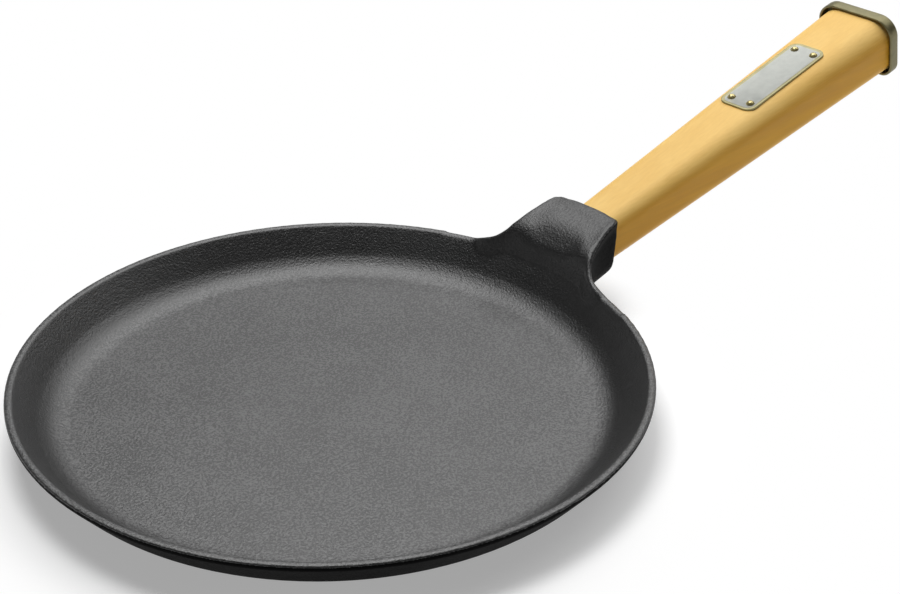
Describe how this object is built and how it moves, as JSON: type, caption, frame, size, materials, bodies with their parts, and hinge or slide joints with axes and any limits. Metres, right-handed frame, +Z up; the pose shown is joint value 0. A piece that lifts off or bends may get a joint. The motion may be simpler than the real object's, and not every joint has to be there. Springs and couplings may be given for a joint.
{
  "type": "crepe pan",
  "caption": "Shallow round cast-iron crepe pan with a flared wall and a tapered wooden grip, tied into its cast socket by a long bolt.",
  "frame": {"origin": "centre of the pan's flat underside, on the surface it rests on", "axes": "+X from the pan's centre towards the grip, +Y across the pan, +Z up"},
  "size_m": [0.4675, 0.244, 0.0727],
  "materials": {
    "seasoned_iron": "matt, fine sand-cast grain",
    "beech": "sanded and oiled",
    "zinc_cap": "dull zinc plated",
    "zinc_plate": "yellowish zinc plated",
    "zinc_nails": "yellowish, worn bright on the dome",
    "bolt_steel": "zinc plated"
  },
  "bodies": {
    "pan": {"pan_casting": "seasoned_iron"},
    "handle": {"wood_grip": "beech", "end_cap": "zinc_cap", "grip_plate": "zinc_plate", "plate_nails": "zinc_nails", "flat_washer": "bolt_steel"},
    "bolt": {"tie_bolt": "bolt_steel", "spring_washer": "bolt_steel", "retaining_ring": "bolt_steel"}
  },
  "joints": [
    {"name": "handle_slide", "type": "slide", "parent": "pan", "child": "handle", "axis": [0.9829, 0, 0.184], "range_m": [0, 0.007]},
    {"name": "bolt_turn", "type": "hinge", "parent": "handle", "child": "bolt", "pos_m": [0.146, 0, 0.0215], "axis": [0.9829, 0, 0.184], "range_deg": [0, 2520]}
  ],
  "couplings": [
    {"joint": "bolt_turn", "follows": "handle_slide", "rad_per_m": 6283.2}
  ]
}
